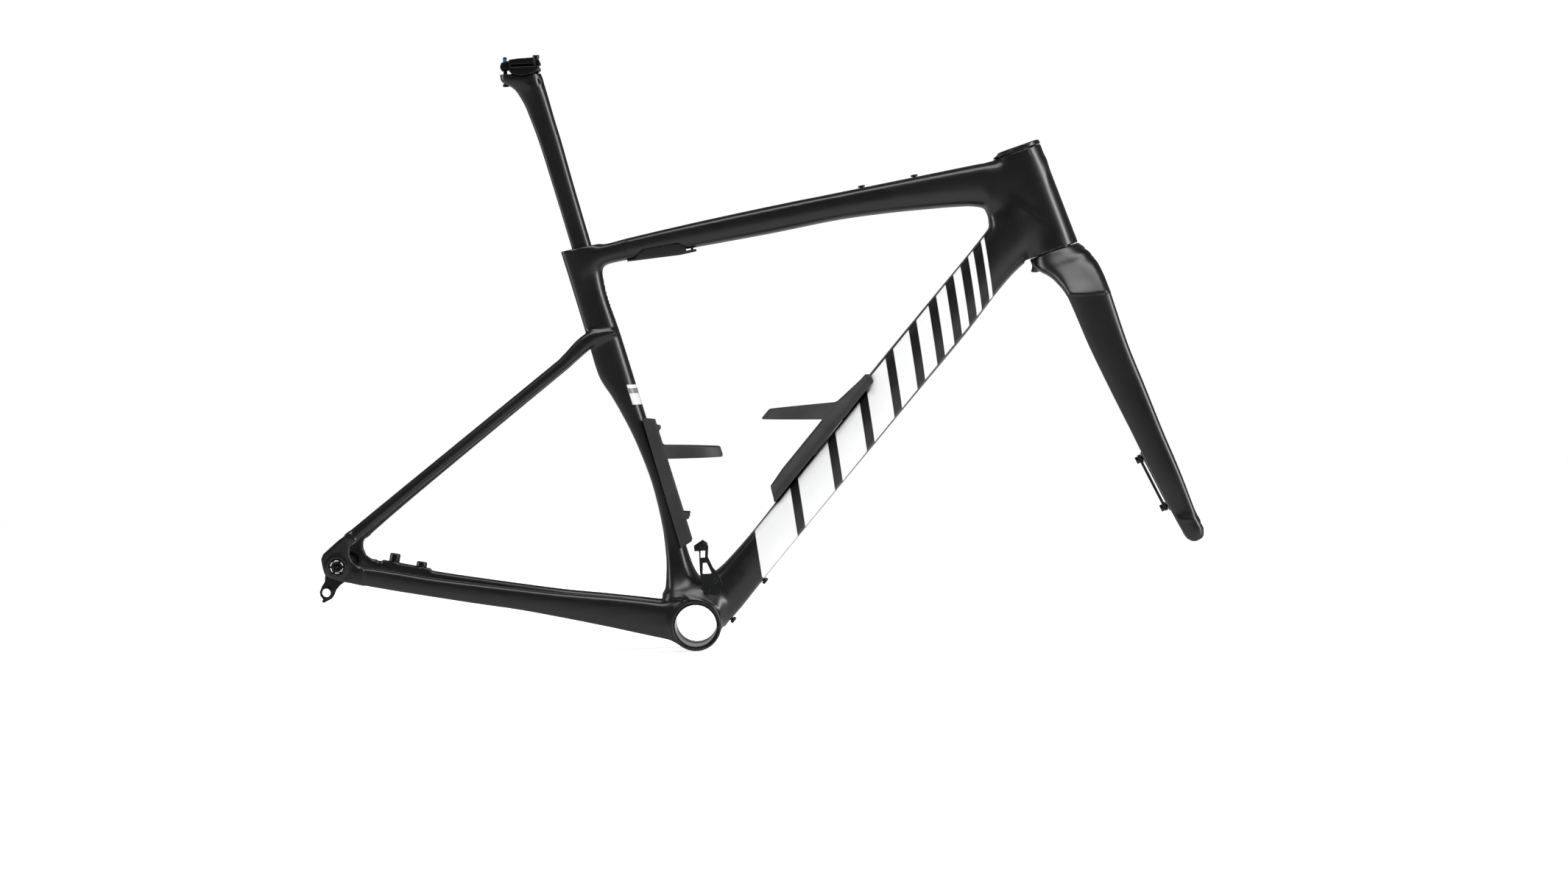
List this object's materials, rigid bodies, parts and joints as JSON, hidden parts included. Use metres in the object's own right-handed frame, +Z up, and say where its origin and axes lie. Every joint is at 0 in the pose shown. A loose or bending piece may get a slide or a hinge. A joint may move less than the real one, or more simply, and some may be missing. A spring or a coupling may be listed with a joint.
{
  "type": "road bicycle frameset",
  "caption": "Road bicycle frameset with disc fork, wedge-clamped aero seatpost, thru-axles and integrated bottle cages.",
  "frame": {"origin": "middle of the bounding box's footprint, level with the lowest point, the underside of the bottom bracket shell", "axes": "+X forward along the bicycle, +Y to its left (non-drive side), +Z up with both wheel axles at one height. The fork rests turned 5 degrees to the right; steering at +5 degrees points it straight ahead"},
  "size_m": [1.0149, 0.1676, 0.6894],
  "materials": {
    "carbon": "satin clear coat over dark carbon",
    "cage_nylon": "moulded matte nylon",
    "cover_rubber": "matte",
    "black_alloy": "black anodised",
    "silver_alloy": "machined",
    "bearing_steel": "ground",
    "black_screws": "black oxide"
  },
  "bodies": {
    "frame": {"head_tube": "carbon", "lower_bearing": "bearing_steel", "upper_bearing": "bearing_steel", "headset_top_cover": "carbon", "bottom_bracket_shell": "carbon", "bottom_bracket_sleeve": "silver_alloy", "top_tube": "carbon", "down_tube": "carbon", "seat_tube": "carbon", "chainstay_right": "carbon", "seatstay_right": "carbon", "seatstay_left": "carbon", "chainstay_left": "carbon", "dropout_right": "carbon", "dropout_left": "carbon", "derailleur_hanger": "black_alloy", "hanger_screw": "bearing_steel", "rear_axle_nut": "black_alloy", "seat_clamp_bridge": "black_alloy", "seat_clamp_cover": "cover_rubber", "seat_clamp_cover_screw_rear": "black_screws", "seat_clamp_cover_screw_front": "black_screws", "front_derailleur_hanger": "black_alloy", "front_hanger_screw_lower": "black_screws", "front_hanger_screw_upper": "black_screws", "front_hanger_clamp_screw": "black_screws", "seat_tube_cage": "cage_nylon", "seat_tube_cage_bolt_1": "black_screws", "seat_tube_cage_bolt_2": "black_screws", "down_tube_cage": "cage_nylon", "down_tube_cage_bolt_1": "black_screws", "down_tube_cage_bolt_2": "black_screws", "top_tube_bolt_1": "black_screws", "top_tube_bolt_2": "black_screws", "cable_guide_bolt_1": "black_screws", "cable_guide_bolt_2": "black_screws", "rear_brake_bolt_1": "black_screws", "rear_brake_bolt_2": "black_screws"},
    "fork": {"fork": "carbon", "crown_race": "bearing_steel", "compression_ring": "silver_alloy", "steerer_plug": "black_alloy", "steerer_plug_bolt": "black_screws", "front_axle_insert": "black_alloy", "front_brake_adapter": "black_alloy", "adapter_screw_lower": "black_screws", "adapter_screw_upper": "black_screws"},
    "front_axle": {"front_thru_axle": "black_alloy"},
    "rear_axle": {"rear_thru_axle": "black_alloy"},
    "seatpost": {"seatpost": "carbon", "front_clamp_nut": "black_alloy", "rear_clamp_screw": "black_screws"},
    "saddle_clamp": {"saddle_clamp_cradle": "black_alloy", "saddle_clamp_plate": "black_alloy"},
    "front_clamp_screw": {"front_clamp_screw": "black_screws"},
    "rear_clamp_nut": {"rear_clamp_nut": "black_alloy"},
    "seat_clamp": {"seat_clamp_pusher": "black_alloy", "seat_clamp_screw": "black_screws"}
  },
  "joints": [
    {"name": "steering", "type": "hinge", "parent": "frame", "child": "fork", "pos_m": [0.34494, 0, 0.4405], "axis": [-0.2924, 0, 0.9563], "range_deg": [-50, 60]},
    {"name": "front_axle_slide", "type": "slide", "parent": "fork", "child": "front_axle", "axis": [0.0833, 0.9962, 0.0255], "range_m": [0, 0.125]},
    {"name": "rear_axle_slide", "type": "slide", "parent": "frame", "child": "rear_axle", "axis": [0, 1, 0], "range_m": [0, 0.166]},
    {"name": "seatpost_slide", "type": "slide", "parent": "frame", "child": "seatpost", "axis": [-0.2453, 0, 0.9695], "range_m": [-0.045, 0.06], "stiffness_N_per_m": 8000},
    {"name": "saddle_tilt", "type": "hinge", "parent": "seatpost", "child": "saddle_clamp", "pos_m": [-0.25606, 0, 0.693], "axis": [0, 1, 0], "range_deg": [-6, 6]},
    {"name": "front_clamp_screw_slide", "type": "slide", "parent": "seatpost", "child": "front_clamp_screw", "axis": [0, 0, 1], "range_m": [-0.0018, 0.0018]},
    {"name": "rear_clamp_nut_slide", "type": "slide", "parent": "seatpost", "child": "rear_clamp_nut", "axis": [0, 0, 1], "range_m": [-0.0024, 0.0024]},
    {"name": "seat_clamp_slide", "type": "slide", "parent": "frame", "child": "seat_clamp", "axis": [0.9885, 0, 0.1512], "range_m": [0, 0.0025]}
  ],
  "couplings": [
    {"joint": "front_clamp_screw_slide", "follows": "saddle_tilt", "m_per_rad": -0.0149},
    {"joint": "rear_clamp_nut_slide", "follows": "saddle_tilt", "m_per_rad": 0.0209}
  ]
}
